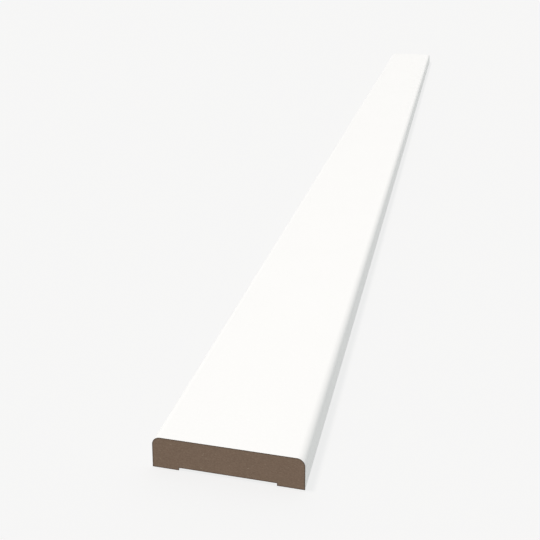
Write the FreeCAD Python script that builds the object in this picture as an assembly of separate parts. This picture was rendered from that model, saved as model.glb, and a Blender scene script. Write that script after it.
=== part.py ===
"""Architrave moulding: one straight length of moulded trim stock, sawn square at both ends.

All sizes are in millimetres. The origin is in the middle of the width and of the length, on the
plane of the two feet. +X runs across the width, +Y along the length and +Z out of the face that
shows when the moulding is fixed to a wall.
"""
import FreeCAD, Part
import os

# Moulded section
WIDTH = 56.0
THICKNESS = 12.0
FACE_EDGE_RADIUS = 3.0

# Shallow relief along the back, which leaves one flat foot beside each long edge
FOOT_WIDTH = 10.0
RELIEF_DEPTH = 1.0

# Sawn length
LENGTH = 1000.0

SIDE_X = WIDTH / 2
FOOT_INNER_X = SIDE_X - FOOT_WIDTH
NEAR_END_Y = -LENGTH / 2


def section_point(x, z):
    """A point of the section, in the plane of the near end."""
    return FreeCAD.Vector(x, NEAR_END_Y, z)


def straight(start, end):
    """A straight stretch of the section's outline."""
    return Part.LineSegment(section_point(*start), section_point(*end)).toShape()


def rounded_edge(side):
    """The quarter round between the face and one long side: side is +1 on the right, -1 on the left."""
    centre_x = side * (SIDE_X - FACE_EDGE_RADIUS)
    centre_z = THICKNESS - FACE_EDGE_RADIUS
    diagonal = FACE_EDGE_RADIUS / 2 ** 0.5
    on_side = section_point(side * SIDE_X, centre_z)
    middle = section_point(centre_x + side * diagonal, centre_z + diagonal)
    on_face = section_point(centre_x, THICKNESS)
    return Part.Arc(on_side, middle, on_face).toShape()


def back_outline():
    """The back from one long side to the other: foot, step, relief, step and foot."""
    corners = [
        (-SIDE_X, 0.0),
        (-FOOT_INNER_X, 0.0),
        (-FOOT_INNER_X, RELIEF_DEPTH),
        (FOOT_INNER_X, RELIEF_DEPTH),
        (FOOT_INNER_X, 0.0),
        (SIDE_X, 0.0),
    ]
    return [straight(start, end) for start, end in zip(corners, corners[1:])]


def section_face():
    """The whole section: back, right side, rounded edge, face, rounded edge and left side."""
    side_top_z = THICKNESS - FACE_EDGE_RADIUS
    face_edge_x = SIDE_X - FACE_EDGE_RADIUS
    right_side = straight((SIDE_X, 0.0), (SIDE_X, side_top_z))
    face = straight((face_edge_x, THICKNESS), (-face_edge_x, THICKNESS))
    left_side = straight((-SIDE_X, side_top_z), (-SIDE_X, 0.0))
    outline = back_outline() + [right_side, rounded_edge(1), face, rounded_edge(-1), left_side]
    return Part.Face(Part.Wire(outline))


def architrave():
    """The section run along the whole sawn length."""
    return section_face().extrude(FreeCAD.Vector(0.0, LENGTH, 0.0))


os.makedirs("parts", exist_ok=True)
moulding = architrave()
moulding.exportStep("parts/architrave.step")
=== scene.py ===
"""Looks of the architrave moulding: a board with a white face and sides and bare brown sawn ends.

All sizes are in metres, in the part's own frame: +X across the width, +Y along the length and +Z
out of the face, with the two back feet on the floor at z = 0.
"""
import math
import random

import bpy
from mathutils import Matrix, Vector, geometry, noise


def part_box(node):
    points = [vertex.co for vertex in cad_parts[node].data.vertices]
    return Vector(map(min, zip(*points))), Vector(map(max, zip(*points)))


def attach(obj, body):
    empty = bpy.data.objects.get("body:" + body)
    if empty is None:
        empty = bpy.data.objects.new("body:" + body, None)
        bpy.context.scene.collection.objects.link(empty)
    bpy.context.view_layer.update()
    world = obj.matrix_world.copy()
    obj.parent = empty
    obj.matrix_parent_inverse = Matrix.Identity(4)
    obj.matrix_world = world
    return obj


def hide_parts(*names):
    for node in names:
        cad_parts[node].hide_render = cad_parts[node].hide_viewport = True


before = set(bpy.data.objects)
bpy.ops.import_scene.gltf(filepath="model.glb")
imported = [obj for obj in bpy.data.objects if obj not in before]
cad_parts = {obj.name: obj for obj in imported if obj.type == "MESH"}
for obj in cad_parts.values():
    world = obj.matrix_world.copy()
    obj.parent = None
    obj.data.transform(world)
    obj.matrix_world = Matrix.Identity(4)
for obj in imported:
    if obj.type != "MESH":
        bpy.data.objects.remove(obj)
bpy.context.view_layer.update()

MM = 0.001

# The board's overall size comes from the frame
board_low, board_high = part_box("architrave")
HALF_WIDTH = (board_high.x - board_low.x) / 2
THICKNESS = board_high.z
HALF_LENGTH = (board_high.y - board_low.y) / 2

# The section's other sizes, as in the part's source
FACE_EDGE_RADIUS = 3.0 * MM
FOOT_WIDTH = 10.0 * MM
RELIEF_DEPTH = 1.0 * MM
FOOT_INNER_X = HALF_WIDTH - FOOT_WIDTH

# Eased corners that the saw and the cutters leave
SAWN_ARRIS = 0.04 * MM
FOOT_ARRIS = 0.12 * MM
RELIEF_ROOT_RADIUS = 0.15 * MM

# How finely the surfaces are divided
FACE_EDGE_STEPS = 18
SMALL_ARC_STEPS = 3
OUTLINE_STEP = 0.5 * MM
LENGTH_STEPS = 50
END_GRID_STEP = 0.28 * MM
END_GRID_ROW_STEP = END_GRID_STEP * math.sin(math.radians(60))
END_GRID_JITTER = 0.25
SHARP_ANGLE = math.radians(40.0)
SEED = 12

# What the triangulation of a sawn end keeps, and how near two of its points may be before they merge
INSIDE_ONLY = 1
MERGE_DISTANCE = 1e-9

# Torn fibres of the sawn ends: layers of one pattern, each half as large and strong as the last
TEAR_DEPTH = 0.06 * MM
TEAR_SIZE = 0.9 * MM
TEAR_FLATNESS = 2.5
TEAR_BIAS = 0.4
TEAR_LAYERS = 3
TEAR_LAYER_SHRINK = 2.0
TEAR_LAYER_FADE = 1.0

# Saw marks of the ends: arcs round a point this far left of the section's middle and below its feet
SAW_MARK_DEPTH = 0.012 * MM
SAW_MARK_PITCH = 0.9 * MM
SAW_CENTRE_LEFT = 150.0 * MM
SAW_CENTRE_BELOW = 75.0 * MM

# The dense skin round the section, where the tears and the marks fade out
SKIN_DEPTH = 0.45 * MM

# The board's map: a strip as wide as the map for each sawn end, and the rest for the long surfaces
MAP_NAME = "OFBake"
MAP_MARGIN = 0.01
MAP_SPAN = 1 - 2 * MAP_MARGIN
END_STRIP = MAP_SPAN * THICKNESS / (2 * HALF_WIDTH)
SIDES_LOW = 2 * END_STRIP + 3 * MAP_MARGIN
SIDES_SPAN = 1 - MAP_MARGIN - SIDES_LOW

# Places of the materials in the board's list
FACE_COAT = 0
BACK_SEALER = 1
SAWN_BOARD = 2

# White coating: faint clouds of tone, and the fine texture of its surface, with painted shade in its
# hollows
COAT_COLOURS = ((0.927, 0.927, 0.926), (0.933, 0.933, 0.932))
COAT_CLOUD_SIZE = 25.0 * MM
COAT_TEXTURE_SIZE = 1.1 * MM
COAT_TEXTURE_DEPTH = 0.03 * MM
COAT_TEXTURE_PAINTED_SHADE = (0.993, 1.005)
COAT_ROUGHNESS = (0.52, 0.60)
COAT_SPECULAR = 0.12

# Thin sealer on the back, with the ripples that the planer's knives leave and painted shade in their
# hollows
SEALER_COLOURS = ((0.86, 0.855, 0.84), (0.91, 0.908, 0.90))
SEALER_GRAIN_SIZE = 0.9 * MM
SEALER_GRAIN_DEPTH = 0.009 * MM
SEALER_ROUGHNESS = 0.75
KNIFE_PITCH = 1.8 * MM
KNIFE_DEPTH = 0.012 * MM
KNIFE_PAINTED_SHADE = (0.985, 1.005)
KNIFE_WANDER = 0.6
KNIFE_WANDER_SCALE = 0.5

# The Wave node's bands turn through 20 radians in one unit of its scaled place
WAVE_RADIANS = 20.0

# Bare fibreboard: pressed fibres that lie flat, a few pale strands and a dense darker skin
FIBRE_COLOURS = ((0.220, 0.148, 0.104), (0.252, 0.171, 0.122), (0.290, 0.202, 0.146))
FIBRE_SIZE = 0.7 * MM
FIBRE_FLATNESS = 2.2
FIBRE_DEPTH = 0.025 * MM
STRAND_COLOUR = (0.405, 0.304, 0.231)
STRAND_SIZE = 1.2 * MM
STRAND_FLATNESS = 3.5
STRAND_SHARE = (0.735, 0.775)
MOTTLE_SIZE = 3.8 * MM
MOTTLE_SHADE = (0.975, 1.025)
SKIN_NAME = "skin"
SKIN_SHADE = (1.0, 0.35)
FIBRE_ROUGHNESS = 0.9
FIBRE_SPECULAR = 0.15

# How many finer layers a noise pattern has over its main forms, and how strong each of them is
RICH_DETAIL = 3.0
SOFT_DETAIL = 2.0
PLAIN_DETAIL = 1.0
LAYER_STRENGTH = 0.5
FIBRE_LAYER_STRENGTH = 0.6

# The part of its range that a noise pattern really uses, and the whole range
NOISE_RANGE = (0.3, 0.7)
WHOLE_RANGE = (0.0, 1.0)

# Places of the Mix node's colour sockets, which share their names with its number sockets
MIX_FIRST = 6
MIX_SECOND = 7
MIX_RESULT = 2

# Camera, from nearly the photograph's place and angle
IMAGE_SIDE = 540
SENSOR_WIDTH = 36.0
FOCAL_PIXELS = 806.4
CAMERA_PLACE = Vector((0.0729, -0.7414, 0.1870))
CAMERA_YAW = math.radians(-13.37)
CAMERA_PITCH = math.radians(11.96)
CAMERA_SHIFT_Y = -0.3
CLIP_NEAR = 0.01
CLIP_FAR = 100.0

# Light of the studio: an even surround and one soft lamp high on the left
SURROUND_COLOUR = (0.650, 0.665, 0.657)
LAMP_COLOUR = (1.0, 0.939, 0.912)
LAMP_STRENGTH = 1.362
LAMP_TILT = math.radians(18.0)
LAMP_SPREAD = math.radians(12.0)

# Pale floor that sweeps up into a wall all round. It glows, so that shadows on it stay soft.
FLOOR_GLOW = 0.72
FLOOR_MATT = 0.195
FLOOR_RADIUS = 6.0
SWEEP_RADIUS = 2.0
SWEEP_STEPS = 12
WALL_HEIGHT = 3.0
STAGE_SIDES = 96


def arc(centre, radius, start, end, steps):
    """Points of an arc in the section's plane, both ends included. Angles are in degrees."""
    found = []
    for i in range(steps + 1):
        angle = math.radians(start + (end - start) * i / steps)
        found.append((centre[0] + radius * math.cos(angle), centre[1] + radius * math.sin(angle)))
    return found


def right_half():
    """The right half of the section's outline, from the middle of the relief to the middle of the face."""
    root = RELIEF_ROOT_RADIUS
    ease = FOOT_ARRIS
    curve = FACE_EDGE_RADIUS
    points = [(0.0, RELIEF_DEPTH)]
    points += arc((FOOT_INNER_X - root, RELIEF_DEPTH - root), root, 90, 0, SMALL_ARC_STEPS)
    points += arc((FOOT_INNER_X + ease, ease), ease, 180, 270, SMALL_ARC_STEPS)
    points += arc((HALF_WIDTH - ease, ease), ease, -90, 0, SMALL_ARC_STEPS)
    points += arc((HALF_WIDTH - curve, THICKNESS - curve), curve, 0, 90, FACE_EDGE_STEPS)
    points.append((0.0, THICKNESS))
    return points


def divided(points, longest):
    """A closed outline with its long straight stretches divided evenly."""
    found = []
    vectors = [Vector(point) for point in points]
    for start, end in zip(vectors, vectors[1:] + vectors[:1]):
        count = math.ceil((end - start).length / longest)
        found += [start.lerp(end, i / count) for i in range(count)]
    return found


def section_outline():
    """The whole section's outline, anticlockwise as seen from the near end."""
    right = right_half()
    left = [(-x, z) for x, z in reversed(right[1:-1])]
    return divided(right + left, OUTLINE_STEP)


def inset(outline, depth):
    """The outline moved inwards along its own normals."""
    moved = []
    for i, point in enumerate(outline):
        before = (point - outline[i - 1]).normalized()
        after = (outline[(i + 1) % len(outline)] - point).normalized()
        inward_before = Vector((-before.y, before.x))
        inward_after = Vector((-after.y, after.x))
        middle = (inward_before + inward_after).normalized()
        moved.append(point + middle * depth / middle.dot(inward_before))
    return moved


def way_round(outline):
    """How far round the outline each point lies, from 0 at the first to 1 back at the first."""
    runs = [0.0]
    for start, end in zip(outline, outline[1:] + outline[:1]):
        runs.append(runs[-1] + (end - start).length)
    return [run / runs[-1] for run in runs]


def depth_in_section(x, z):
    """How far a point lies inside the section's outline, below zero outside it."""
    across = abs(x)
    curve_x = HALF_WIDTH - FACE_EDGE_RADIUS
    curve_z = THICKNESS - FACE_EDGE_RADIUS
    if across > curve_x and z > curve_z:
        outer = FACE_EDGE_RADIUS - math.hypot(across - curve_x, z - curve_z)
    else:
        outer = min(HALF_WIDTH - across, THICKNESS - z)
    if across < FOOT_INNER_X:
        back = z - RELIEF_DEPTH
    elif z < RELIEF_DEPTH:
        back = min(z, across - FOOT_INNER_X)
    else:
        back = min(z, math.hypot(across - FOOT_INNER_X, z - RELIEF_DEPTH))
    return min(outer, back)


def end_grid():
    """Loose points that divide the sawn end finely, all of them well inside its outline."""
    dice = random.Random(SEED)
    found = []
    for row in range(math.ceil(THICKNESS / END_GRID_ROW_STEP)):
        for column in range(math.ceil(2 * HALF_WIDTH / END_GRID_STEP)):
            along = column + row % 2 / 2 + dice.uniform(-END_GRID_JITTER, END_GRID_JITTER)
            up = row + dice.uniform(-END_GRID_JITTER, END_GRID_JITTER)
            x = along * END_GRID_STEP - HALF_WIDTH
            z = up * END_GRID_ROW_STEP
            if depth_in_section(x, z) > SAWN_ARRIS + END_GRID_STEP / 2:
                found.append(Vector((x, z)))
    return found


def end_relief(x, z, end):
    """How deep the saw has cut and torn the board at a point of one end."""
    at = Vector((x / TEAR_SIZE, z * TEAR_FLATNESS / TEAR_SIZE, end))
    pattern = noise.fractal(at, TEAR_LAYER_FADE, TEAR_LAYER_SHRINK, TEAR_LAYERS)
    torn = min(1.0, max(0.0, TEAR_BIAS + pattern))
    radius = math.hypot(x + SAW_CENTRE_LEFT, z + SAW_CENTRE_BELOW)
    mark = 0.5 + 0.5 * math.sin(math.tau * radius / SAW_MARK_PITCH)
    fade = min(1.0, (depth_in_section(x, z) - SAWN_ARRIS) / SKIN_DEPTH)
    return fade * (TEAR_DEPTH * torn + SAW_MARK_DEPTH * mark)


def end_place(x, z, end):
    """Where a point of one sawn end lies on the map. Both ends lie as they are seen from outside."""
    across = MAP_SPAN * (0.5 - end * x / (2 * HALF_WIDTH))
    up = END_STRIP * z / THICKNESS
    low = MAP_MARGIN if end < 0 else END_STRIP + 2 * MAP_MARGIN
    return MAP_MARGIN + across, low + up


def side_place(y, way):
    """Where a point of the long surfaces lies on the map, from how far round the section it is."""
    return MAP_MARGIN + MAP_SPAN * (y / HALF_LENGTH + 1) / 2, SIDES_LOW + SIDES_SPAN * way


def side_material(x, z):
    """Which material a point of the long surfaces has: the face and both edges, or the back."""
    if abs(x) > HALF_WIDTH - FOOT_ARRIS / 2 or z > THICKNESS / 2:
        return FACE_COAT
    return BACK_SEALER


class BoardMesh:
    """The board as one closed mesh, put together from its long surfaces and its two sawn ends."""

    def __init__(self):
        self.outline = section_outline()
        self.sawn = inset(self.outline, SAWN_ARRIS)
        self.verts = []
        self.skin = []
        self.faces = []
        self.materials = []
        self.places = []

    def add_vert(self, x, y, z, skin):
        """A new vertex, with how far it belongs to the board's dense skin."""
        self.verts.append((x, y, z))
        self.skin.append(skin)
        return len(self.verts) - 1

    def add_face(self, corners, material, places):
        """A new face, with where each of its corners lies on the map."""
        self.faces.append(corners)
        self.materials.append(material)
        self.places += places

    def add_ring(self, y, ring):
        """A ring of vertices round the section, and where it is along the length."""
        return y, [self.add_vert(point.x, y, point.y, 1.0) for point in ring]

    def add_long_surfaces(self, rings):
        """The face, edges and back, from each ring to the next."""
        ways = way_round(self.outline)
        for (y, ring), (next_y, next_ring) in zip(rings, rings[1:]):
            for i in range(len(ring)):
                j = (i + 1) % len(ring)
                middle = (self.outline[i] + self.outline[j]) / 2
                self.add_face(
                    (ring[i], next_ring[i], next_ring[j], ring[j]),
                    side_material(middle.x, middle.y),
                    [
                        side_place(y, ways[i]),
                        side_place(next_y, ways[i]),
                        side_place(next_y, ways[i + 1]),
                        side_place(y, ways[i + 1]),
                    ],
                )

    def add_sawn_face(self, corners, end):
        """A face of one sawn end. Its corners come in the order for the near end."""
        turned = corners if end < 0 else corners[::-1]
        places = [end_place(self.verts[v][0], self.verts[v][2], end) for v in turned]
        self.add_face(turned, SAWN_BOARD, places)

    def sawn_triangles(self, inner):
        """The triangles of a sawn end, as places in the list of its edge and inner points."""
        loop = list(range(len(self.sawn)))
        edges = list(zip(loop, loop[1:] + loop[:1]))
        _, _, triangles, origins, _, _ = geometry.delaunay_2d_cdt(
            self.sawn + inner, edges, [], INSIDE_ONLY, MERGE_DISTANCE
        )
        return [[origins[v][0] for v in triangle] for triangle in triangles]

    def add_sawn_end(self, last_ring, inner, triangles, end):
        """One sawn end: the arris round it, and the rough face inside."""
        edge = self.add_ring(end * HALF_LENGTH, self.sawn)[1]
        for i in range(len(edge)):
            j = (i + 1) % len(edge)
            self.add_sawn_face((edge[i], last_ring[i], last_ring[j], edge[j]), end)
        place = list(edge)
        for point in inner:
            y = end * (HALF_LENGTH - end_relief(point.x, point.y, end))
            skin = max(0.0, 1 - depth_in_section(point.x, point.y) / SKIN_DEPTH)
            place.append(self.add_vert(point.x, y, point.y, skin))
        for triangle in triangles:
            self.add_sawn_face([place[v] for v in triangle], end)

    def build(self):
        """The whole mesh."""
        inner_length = HALF_LENGTH - SAWN_ARRIS
        rings = []
        for i in range(LENGTH_STEPS + 1):
            rings.append(self.add_ring(inner_length * (2 * i / LENGTH_STEPS - 1), self.outline))
        self.add_long_surfaces(rings)

        inner = end_grid()
        triangles = self.sawn_triangles(inner)
        self.add_sawn_end(rings[0][1], inner, triangles, -1)
        self.add_sawn_end(rings[-1][1], inner, triangles, 1)
        return self.mesh()

    def mesh(self):
        """The mesh of everything added so far, with its materials, its skin and its map."""
        mesh = bpy.data.meshes.new("moulded_board")
        mesh.from_pydata(self.verts, [], self.faces)
        mesh.polygons.foreach_set("material_index", self.materials)
        mesh.attributes.new(SKIN_NAME, "FLOAT", "POINT").data.foreach_set("value", self.skin)
        places = mesh.uv_layers.new(name=MAP_NAME).uv
        places.foreach_set("vector", [number for place in self.places for number in place])
        mesh.shade_smooth()
        mesh.set_sharp_from_angle(angle=SHARP_ANGLE)
        return mesh


class Shader:
    """A new material, with short calls that add and join its nodes."""

    def __init__(self, name):
        self.material = bpy.data.materials.new(name)
        self.material.use_nodes = True
        self.tree = self.material.node_tree
        self.tree.nodes.clear()
        self.output = self.tree.nodes.new("ShaderNodeOutputMaterial")

    def node(self, kind, inputs, **settings):
        """A node of this kind. An input is a number, a colour, or the socket of another node."""
        made = self.tree.nodes.new("ShaderNode" + kind)
        for name, value in settings.items():
            setattr(made, name, value)
        for name, value in inputs.items():
            if isinstance(value, bpy.types.NodeSocket):
                self.tree.links.new(value, made.inputs[name])
            else:
                made.inputs[name].default_value = value
        return made

    def place(self):
        """The place on the object, in metres."""
        return self.node("TexCoord", {}).outputs["Object"]

    def flattened(self, place, flatness):
        """The place stretched upwards, so that a pattern there lies flatter by this much."""
        inputs = {"Vector": place, "Scale": (1.0, 1.0, flatness)}
        return self.node("Mapping", inputs).outputs["Vector"]

    def noise(self, place, size, detail, strength=LAYER_STRENGTH):
        """A cloudy pattern whose largest forms are about this size."""
        inputs = {"Vector": place, "Scale": 1 / size, "Detail": detail, "Roughness": strength}
        return self.node("TexNoise", inputs).outputs["Fac"]

    def ripples(self, place, pitch, wander, wander_scale):
        """Ripples that follow each other along Y and wander a little."""
        inputs = {
            "Vector": place,
            "Scale": math.tau / (WAVE_RADIANS * pitch),
            "Distortion": wander,
            "Detail": SOFT_DETAIL,
            "Detail Scale": wander_scale,
        }
        return self.node("TexWave", inputs, bands_direction="Y").outputs["Fac"]

    def ranged(self, value, source, target):
        """A number moved from one range to another, and held inside it."""
        inputs = {
            "Value": value,
            "From Min": source[0],
            "From Max": source[1],
            "To Min": target[0],
            "To Max": target[1],
        }
        return self.node("MapRange", inputs).outputs["Result"]

    def ramp(self, factor, colours):
        """Colours spread evenly over the range that a noise pattern uses."""
        low, high = NOISE_RANGE
        made = self.node("ValToRGB", {"Fac": factor})
        elements = made.color_ramp.elements
        while len(elements) < len(colours):
            elements.new(high)
        for i, (element, colour) in enumerate(zip(elements, colours)):
            element.position = low + (high - low) * i / (len(colours) - 1)
            element.color = (*colour, 1.0)
        return made.outputs["Color"]

    def mixed(self, factor, first, second):
        """Two colours blended."""
        inputs = {"Factor": factor, MIX_FIRST: first, MIX_SECOND: second}
        return self.node("Mix", inputs, data_type="RGBA").outputs[MIX_RESULT]

    def scaled(self, colour, amount):
        """A colour made darker or lighter."""
        inputs = {"Vector": colour, "Scale": amount}
        return self.node("VectorMath", inputs, operation="SCALE").outputs["Vector"]

    def bump(self, height, depth, under=None):
        """A normal with this relief on it, and with an earlier relief under it if one is given."""
        inputs = {"Height": height, "Strength": 1.0, "Distance": depth}
        if under:
            inputs["Normal"] = under
        return self.node("Bump", inputs).outputs["Normal"]

    def finished(self, colour, roughness, specular, normal):
        """Joins an opaque surface to the output, and gives the material."""
        inputs = {
            "Base Color": colour,
            "Roughness": roughness,
            "Specular IOR Level": specular,
            "Normal": normal,
        }
        return self.joined(self.node("BsdfPrincipled", inputs).outputs["BSDF"])

    def joined(self, surface):
        """Joins a surface to the output, and gives the material."""
        self.tree.links.new(surface, self.output.inputs["Surface"])
        return self.material


def coating():
    """Smooth white coating with a faint rolled texture, and painted shade in the texture's hollows."""
    shader = Shader("white_coating")
    place = shader.place()
    texture = shader.noise(place, COAT_TEXTURE_SIZE, SOFT_DETAIL)
    # Painted shade: the coating is a little darker where its texture is low and lighter where it is high
    painted_hollow_shade = shader.ranged(texture, NOISE_RANGE, COAT_TEXTURE_PAINTED_SHADE)
    clouds = shader.noise(place, COAT_CLOUD_SIZE, RICH_DETAIL)
    colour = shader.scaled(shader.ramp(clouds, COAT_COLOURS), painted_hollow_shade)
    roughness = shader.ranged(texture, WHOLE_RANGE, COAT_ROUGHNESS)
    relief = shader.bump(texture, COAT_TEXTURE_DEPTH)
    return shader.finished(colour, roughness, COAT_SPECULAR, relief)


def back_sealer():
    """Thin dull sealer on the back, through which the ripples of the planer's knives still show, with
    painted shade in their hollows.
    """
    shader = Shader("back_sealer")
    place = shader.place()
    ripples = shader.ripples(place, KNIFE_PITCH, KNIFE_WANDER, KNIFE_WANDER_SCALE)
    # Painted shade: the sealer is a little darker in the hollows of the ripples and lighter on their
    # crests
    painted_hollow_shade = shader.ranged(ripples, WHOLE_RANGE, KNIFE_PAINTED_SHADE)
    grain = shader.noise(place, SEALER_GRAIN_SIZE, RICH_DETAIL)
    colour = shader.scaled(shader.ramp(grain, SEALER_COLOURS), painted_hollow_shade)
    rippled = shader.bump(ripples, KNIFE_DEPTH)
    relief = shader.bump(grain, SEALER_GRAIN_DEPTH, rippled)
    return shader.finished(colour, SEALER_ROUGHNESS, COAT_SPECULAR, relief)


def bare_board():
    """Sawn fibreboard: matt brown, flecked with fibres and a few pale strands, darker in its skin."""
    shader = Shader("bare_fibreboard")
    place = shader.place()
    fibre_place = shader.flattened(place, FIBRE_FLATNESS)
    strand_place = shader.flattened(place, STRAND_FLATNESS)
    fibres = shader.noise(fibre_place, FIBRE_SIZE, RICH_DETAIL, FIBRE_LAYER_STRENGTH)
    strands = shader.noise(strand_place, STRAND_SIZE, PLAIN_DETAIL)
    strand = shader.ranged(strands, STRAND_SHARE, WHOLE_RANGE)
    colour = shader.mixed(strand, shader.ramp(fibres, FIBRE_COLOURS), (*STRAND_COLOUR, 1.0))
    mottle = shader.noise(fibre_place, MOTTLE_SIZE, RICH_DETAIL)
    mottled = shader.scaled(colour, shader.ranged(mottle, NOISE_RANGE, MOTTLE_SHADE))
    skin = shader.node("Attribute", {}, attribute_name=SKIN_NAME).outputs["Fac"]
    shaded = shader.scaled(mottled, shader.ranged(skin, WHOLE_RANGE, SKIN_SHADE))
    return shader.finished(shaded, FIBRE_ROUGHNESS, FIBRE_SPECULAR, shader.bump(fibres, FIBRE_DEPTH))


def pale_floor():
    """Pale floor that glows faintly, so that the board's shadow on it stays soft."""
    shader = Shader("pale_floor")
    glow = shader.node("Emission", {"Color": (FLOOR_GLOW, FLOOR_GLOW, FLOOR_GLOW, 1.0)})
    matt = shader.node("BsdfDiffuse", {"Color": (FLOOR_MATT, FLOOR_MATT, FLOOR_MATT, 1.0)})
    both = shader.node("AddShader", {0: glow.outputs["Emission"], 1: matt.outputs["BSDF"]})
    return shader.joined(both.outputs["Shader"])


def add(name, data):
    """A new object in the scene."""
    made = bpy.data.objects.new(name, data)
    bpy.context.scene.collection.objects.link(made)
    return made


def make_board():
    """The board's piece, which stands for the CAD solid."""
    board = add("moulded_board", BoardMesh().build())
    for material in (coating(), back_sealer(), bare_board()):
        board.data.materials.append(material)
    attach(board, "root")
    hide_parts("architrave")


def stage_profile():
    """How the floor runs outwards and up from the rim of its flat middle, as radii and heights."""
    profile = [(FLOOR_RADIUS, 0.0)]
    profile += arc((FLOOR_RADIUS, SWEEP_RADIUS), SWEEP_RADIUS, -90, 0, SWEEP_STEPS)[1:]
    profile.append((FLOOR_RADIUS + SWEEP_RADIUS, WALL_HEIGHT))
    return profile


def stage_mesh():
    """The profile turned all the way round, and a fan of triangles as the flat middle inside it."""
    profile = stage_profile()
    verts = [(0.0, 0.0, 0.0)]
    for radius, height in profile:
        for i in range(STAGE_SIDES):
            angle = math.tau * i / STAGE_SIDES
            verts.append((radius * math.cos(angle), radius * math.sin(angle), height))
    faces = [(0, 1 + i, 1 + (i + 1) % STAGE_SIDES) for i in range(STAGE_SIDES)]
    for ring in range(len(profile) - 1):
        low = 1 + ring * STAGE_SIDES
        high = low + STAGE_SIDES
        for i in range(STAGE_SIDES):
            j = (i + 1) % STAGE_SIDES
            faces.append((low + i, high + i, high + j, low + j))
    mesh = bpy.data.meshes.new("floor")
    mesh.from_pydata(verts, [], faces)
    mesh.shade_smooth()
    return mesh


def make_stage():
    """A round floor that sweeps up into a wall. It is seen, and lights nothing."""
    floor = add("floor", stage_mesh())
    floor.data.materials.append(pale_floor())
    floor.visible_diffuse = False
    floor.visible_shadow = False


def make_lights():
    """An even surround, and one soft lamp high on the left."""
    world = bpy.data.worlds.new("surround")
    world.use_nodes = True
    world.node_tree.nodes["Background"].inputs["Color"].default_value = (*SURROUND_COLOUR, 1.0)
    bpy.context.scene.world = world
    lamp = bpy.data.lights.new("lamp", "SUN")
    lamp.color = LAMP_COLOUR
    lamp.energy = LAMP_STRENGTH
    lamp.angle = LAMP_SPREAD
    add("lamp", lamp).rotation_euler = (0.0, -LAMP_TILT, 0.0)


def make_camera():
    """The camera, upright and turned towards the far end of the board.

    The photograph's own camera is level and has twice this shift, which would take the board out of
    other views. This one looks down a little instead, from nearly the same place.
    """
    camera = bpy.data.cameras.new("camera")
    camera.sensor_width = SENSOR_WIDTH
    camera.lens = FOCAL_PIXELS / IMAGE_SIDE * SENSOR_WIDTH
    camera.shift_y = CAMERA_SHIFT_Y
    camera.clip_start = CLIP_NEAR
    camera.clip_end = CLIP_FAR
    eye = add("camera", camera)
    turn = Matrix.Rotation(-CAMERA_YAW, 4, "Z") @ Matrix.Rotation(math.pi / 2 - CAMERA_PITCH, 4, "X")
    eye.matrix_world = Matrix.Translation(CAMERA_PLACE) @ turn
    bpy.context.scene.camera = eye


def plain_colours():
    """Colours are shown as they are lit, with no film look over them."""
    view = bpy.context.scene.view_settings
    view.view_transform = "Standard"
    view.look = "None"


make_board()
make_stage()
make_lights()
make_camera()
plain_colours()
